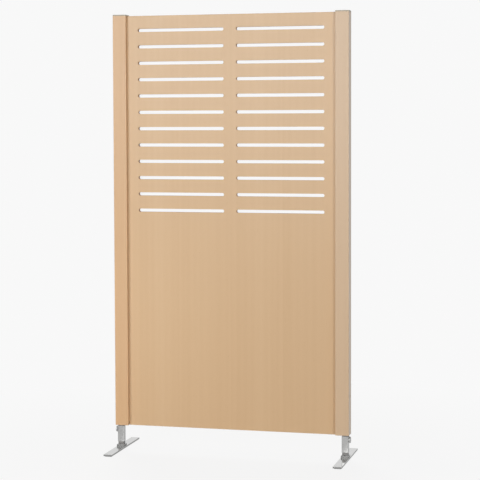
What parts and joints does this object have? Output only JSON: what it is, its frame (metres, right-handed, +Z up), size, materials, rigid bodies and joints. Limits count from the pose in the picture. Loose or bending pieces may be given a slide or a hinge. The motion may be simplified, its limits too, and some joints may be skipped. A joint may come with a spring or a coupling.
{
  "type": "free-standing slit partition",
  "caption": "Free-standing wooden room partition: a board with horizontal slits between rounded posts, on flat steel T-feet that swivel to pack flat.",
  "frame": {"origin": "on the floor, midway between the two feet and in the middle of their depth", "axes": "+X to the right seen from the front, -Y towards the front, +Z up"},
  "size_m": [0.8846, 0.32, 1.6075],
  "materials": {
    "panel_veneer": "clear satin lacquer on pale beech veneer",
    "edge_veneer": "clear satin lacquer on a thin pale beech band",
    "post_wood": "clear satin lacquer on pale beech",
    "satin_steel": "satin",
    "polished_steel": "polished",
    "grey_steel": "matt grey powder coat",
    "zinc_steel": "zinc plated",
    "grey_plastic": "fine moulded texture",
    "end_cap_plastic": "grey-beige, fine moulded texture",
    "cap_plastic": "wood-coloured",
    "pad_rubber": "matt"
  },
  "bodies": {
    "frame": {"slit_panel": "panel_veneer", "panel_top_edge_band": "edge_veneer", "panel_bottom_edge_band": "edge_veneer", "left_post": "post_wood", "left_post_cap": "end_cap_plastic", "left_connector_bolts": "zinc_steel", "left_barrel_nuts": "zinc_steel", "left_bolt_caps": "cap_plastic", "left_socket_bracket": "grey_steel", "left_bracket_screws": "zinc_steel", "left_leg_tube": "satin_steel", "left_foot_plug": "grey_plastic", "left_captive_nut": "zinc_steel", "left_foot_bolt": "zinc_steel", "right_post": "post_wood", "right_post_cap": "end_cap_plastic", "right_connector_bolts": "zinc_steel", "right_barrel_nuts": "zinc_steel", "right_bolt_caps": "cap_plastic", "right_socket_bracket": "grey_steel", "right_bracket_screws": "zinc_steel", "right_leg_tube": "satin_steel", "right_foot_plug": "grey_plastic", "right_captive_nut": "zinc_steel", "right_foot_bolt": "zinc_steel"},
    "left_foot": {"left_foot_flange": "satin_steel", "left_foot_bar": "polished_steel", "left_foot_pads": "pad_rubber"},
    "left_clamp": {"left_clamp_screw": "satin_steel"},
    "right_foot": {"right_foot_flange": "satin_steel", "right_foot_bar": "polished_steel", "right_foot_pads": "pad_rubber"},
    "right_clamp": {"right_clamp_screw": "satin_steel"}
  },
  "joints": [
    {"name": "left_foot_swivel", "type": "hinge", "parent": "frame", "child": "left_foot", "pos_m": [-0.4235, 0, 0.008], "axis": [0, 0, 1], "range_deg": [-90, 90]},
    {"name": "left_clamp_turn", "type": "hinge", "parent": "frame", "child": "left_clamp", "pos_m": [-0.436, 0, 0.072], "axis": [-1, 0, 0], "range_deg": [0, 360]},
    {"name": "right_foot_swivel", "type": "hinge", "parent": "frame", "child": "right_foot", "pos_m": [0.4235, 0, 0.008], "axis": [0, 0, 1], "range_deg": [-90, 90]},
    {"name": "right_clamp_turn", "type": "hinge", "parent": "frame", "child": "right_clamp", "pos_m": [0.436, 0, 0.072], "axis": [1, 0, 0], "range_deg": [0, 360]}
  ]
}
